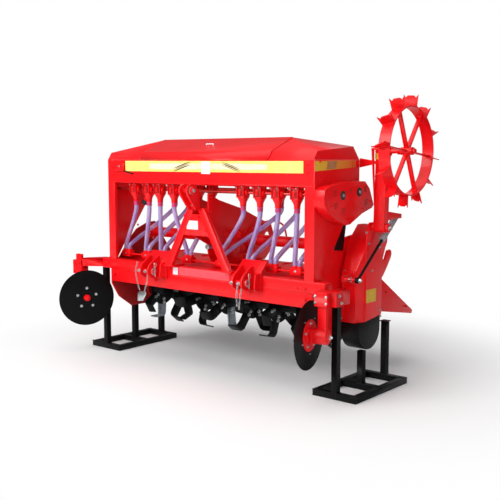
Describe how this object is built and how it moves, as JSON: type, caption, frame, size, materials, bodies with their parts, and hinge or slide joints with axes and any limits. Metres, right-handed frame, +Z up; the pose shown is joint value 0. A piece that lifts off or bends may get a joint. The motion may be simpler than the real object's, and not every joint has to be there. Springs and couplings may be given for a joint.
{
  "type": "rotary tiller seed drill",
  "caption": "Tractor-mounted rotary tiller with a seed and fertiliser hopper, feed cups, hoses, side discs and a spiked ground wheel, parked on two stands.",
  "frame": {"origin": "floor level, under the middle of the footprint box", "axes": "+X towards the drive side, the machine's right seen from its hitch side, +Y to the rear, +Z up"},
  "size_m": [2.633, 1.5314, 1.8479],
  "materials": {
    "red_paint": "glossy sprayed signal red",
    "black_paint": "semi-gloss black paint",
    "bright_steel": "bright turned steel",
    "grey_steel": "grey painted steel tube",
    "hose_plastic": "translucent lilac PVC hose"
  },
  "bodies": {
    "root": {"left_stand": "black_paint", "right_stand": "black_paint", "front_beam": "red_paint", "hood": "red_paint", "left_side_plate": "red_paint", "right_side_plate": "red_paint", "left_cross_tube": "red_paint", "right_cross_tube": "red_paint", "gearbox": "red_paint", "left_brace_plate": "red_paint", "right_brace_plate": "red_paint", "a_frame": "red_paint", "top_link_clevis": "red_paint", "left_lower_hitch": "red_paint", "right_lower_hitch": "red_paint", "drive_case_guard": "black_paint", "side_drive_case": "red_paint", "hopper_divider": "red_paint", "hopper_shell": "red_paint", "left_end_panel": "red_paint", "right_end_panel": "red_paint", "right_hip_cap": "red_paint", "left_hip_cap": "red_paint", "front_feed_bank": "red_paint", "rear_feed_bank": "red_paint", "chain_case": "red_paint", "boot_bar": "red_paint", "front_hose_1": "hose_plastic", "front_hose_2": "hose_plastic", "front_hose_3": "hose_plastic", "front_hose_4": "hose_plastic", "front_hose_5": "hose_plastic", "front_hose_6": "hose_plastic", "front_hose_7": "hose_plastic", "front_hose_8": "hose_plastic", "rear_hose_1": "hose_plastic", "rear_hose_2": "hose_plastic", "rear_hose_3": "hose_plastic", "rear_hose_4": "hose_plastic", "rear_hose_5": "hose_plastic", "rear_hose_6": "hose_plastic", "rear_hose_7": "hose_plastic", "rear_hose_8": "hose_plastic", "right_disc_stem": "red_paint", "left_disc_stem": "red_paint", "right_disc_bracket": "red_paint", "left_disc_bracket": "red_paint"},
    "rotor": {"rotor": "black_paint"},
    "pto_shaft": {"pto_shaft": "bright_steel"},
    "tail_board": {"tail_board": "red_paint"},
    "hopper_lid": {"hopper_lid": "red_paint"},
    "front_feed_shaft": {"front_feed_shaft": "bright_steel"},
    "rear_feed_shaft": {"rear_feed_shaft": "bright_steel"},
    "wheel_arm": {"wheel_arm": "red_paint"},
    "ground_wheel": {"ground_wheel": "red_paint"},
    "strut_rod": {"strut_rod": "black_paint"},
    "strut_sleeve": {"strut_sleeve": "grey_steel"},
    "left_disc": {"left_disc": "black_paint"},
    "right_disc": {"right_disc": "black_paint"}
  },
  "joints": [
    {"name": "rotor_spin", "type": "hinge", "parent": "root", "child": "rotor", "pos_m": [-0.0565, -0.03029, 0.45], "axis": [1, 0, 0], "continuous": true},
    {"name": "pto_spin", "type": "hinge", "parent": "root", "child": "pto_shaft", "pos_m": [-0.0565, -0.30229, 0.86], "axis": [0, 1, 0], "continuous": true},
    {"name": "tail_board_lift", "type": "hinge", "parent": "root", "child": "tail_board", "pos_m": [-0.0565, 0.30171, 0.664], "axis": [1, 0, 0], "range_deg": [0, 35]},
    {"name": "lid_open", "type": "hinge", "parent": "root", "child": "hopper_lid", "pos_m": [-0.0565, 0.05271, 1.453], "axis": [-1, 0, 0], "range_deg": [0, 100]},
    {"name": "wheel_arm_fold", "type": "hinge", "parent": "root", "child": "wheel_arm", "pos_m": [1.0795, -0.0363, 1.03], "axis": [-1, 0, 0], "range_deg": [0, 65]},
    {"name": "ground_wheel_spin", "type": "hinge", "parent": "wheel_arm", "child": "ground_wheel", "pos_m": [1.2565, -0.0243, 1.504], "axis": [1, 0, 0], "continuous": true},
    {"name": "front_feed_spin", "type": "hinge", "parent": "root", "child": "front_feed_shaft", "pos_m": [-0.0565, -0.4023, 1.24], "axis": [1, 0, 0], "continuous": true},
    {"name": "rear_feed_spin", "type": "hinge", "parent": "root", "child": "rear_feed_shaft", "pos_m": [-0.0565, -0.0073, 1.24], "axis": [1, 0, 0], "continuous": true},
    {"name": "strut_swing", "type": "hinge", "parent": "root", "child": "strut_rod", "pos_m": [1.0715, -0.2623, 0.722], "axis": [-1, 0, 0], "range_deg": [0, 20.28]},
    {"name": "strut_slide", "type": "slide", "parent": "strut_rod", "child": "strut_sleeve", "axis": [0, 0.7724, 0.6351], "range_m": [-0.18404, 0]},
    {"name": "left_disc_spin", "type": "hinge", "parent": "root", "child": "left_disc", "pos_m": [-1.14611, -0.56259, 0.412], "axis": [0.9135, -0.4067, 0], "continuous": true},
    {"name": "right_disc_spin", "type": "hinge", "parent": "root", "child": "right_disc", "pos_m": [0.92612, -0.55909, 0.412], "axis": [0.9816, 0.1908, 0], "continuous": true}
  ],
  "couplings": [
    {"joint": "pto_spin", "follows": "rotor_spin", "ratio": 2.57},
    {"joint": "front_feed_spin", "follows": "ground_wheel_spin", "ratio": 0.5},
    {"joint": "rear_feed_spin", "follows": "ground_wheel_spin", "ratio": 0.5},
    {"joint": "strut_swing", "follows": "wheel_arm_fold", "ratio": 0.31129},
    {"joint": "strut_slide", "follows": "wheel_arm_fold", "m_per_rad": -0.16179}
  ]
}
